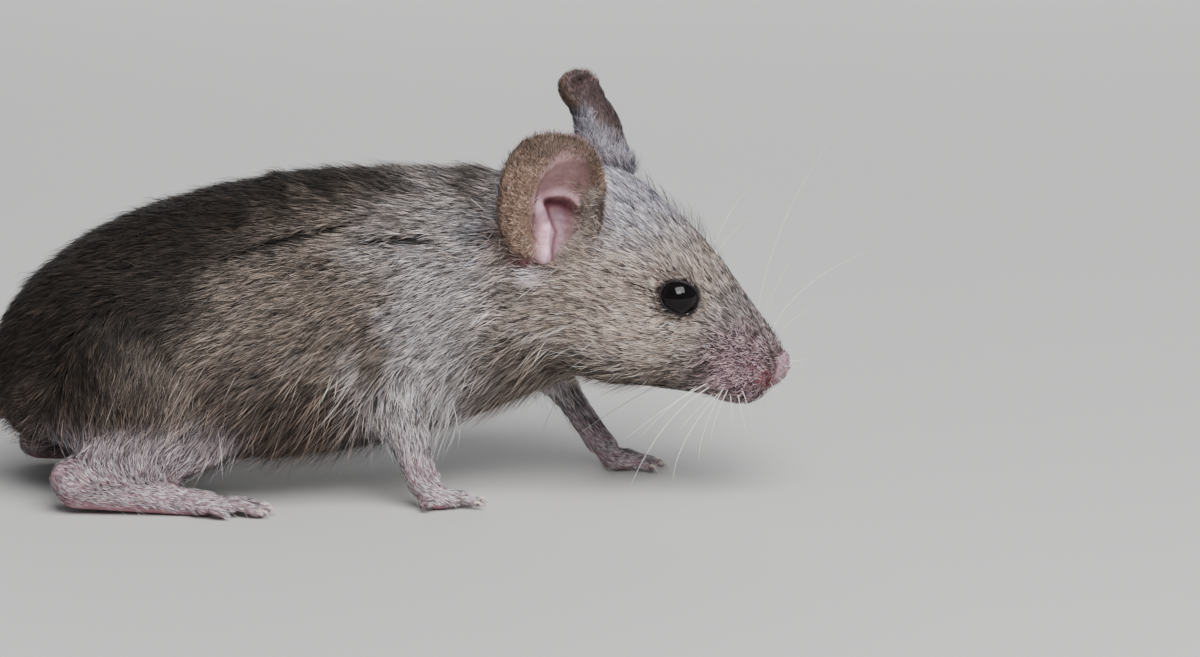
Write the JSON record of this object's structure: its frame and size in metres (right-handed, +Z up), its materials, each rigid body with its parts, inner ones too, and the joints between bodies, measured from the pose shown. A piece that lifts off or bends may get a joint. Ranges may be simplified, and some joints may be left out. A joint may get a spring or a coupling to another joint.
{
  "type": "house mouse",
  "caption": "Life-size still model of a grey-brown house mouse standing with its head low and forward and one forefoot ahead, tail laid along the floor.",
  "frame": {"origin": "middle of the bounding box's base, on the floor under the mouse", "axes": "+X from tail to nose, +Y to the mouse's left, +Z up"},
  "size_m": [0.1302, 0.03, 0.0347],
  "materials": {
    "coat": "short dense grey-brown fur with pale tips",
    "leg_coat": "short pale grey fur",
    "bare_skin": "pink skin with sparse fine hair",
    "nose_skin": "moist bare skin",
    "eye": "wet black"
  },
  "bodies": {
    "root": {"head": "coat", "neck": "coat", "trunk_front": "coat", "trunk_rear": "coat", "foreleg_left": "leg_coat", "foreleg_right": "leg_coat", "hindleg_left": "leg_coat", "hindleg_right": "leg_coat", "forefoot_left": "bare_skin", "forefoot_right": "bare_skin", "hindfoot_left": "bare_skin", "hindfoot_right": "bare_skin", "ear_left": "bare_skin", "ear_right": "bare_skin", "tail_root": "bare_skin", "tail_middle": "bare_skin", "tail_tip": "bare_skin", "nose": "nose_skin", "eye_left": "eye", "eye_right": "eye"}
  },
  "joints": []
}
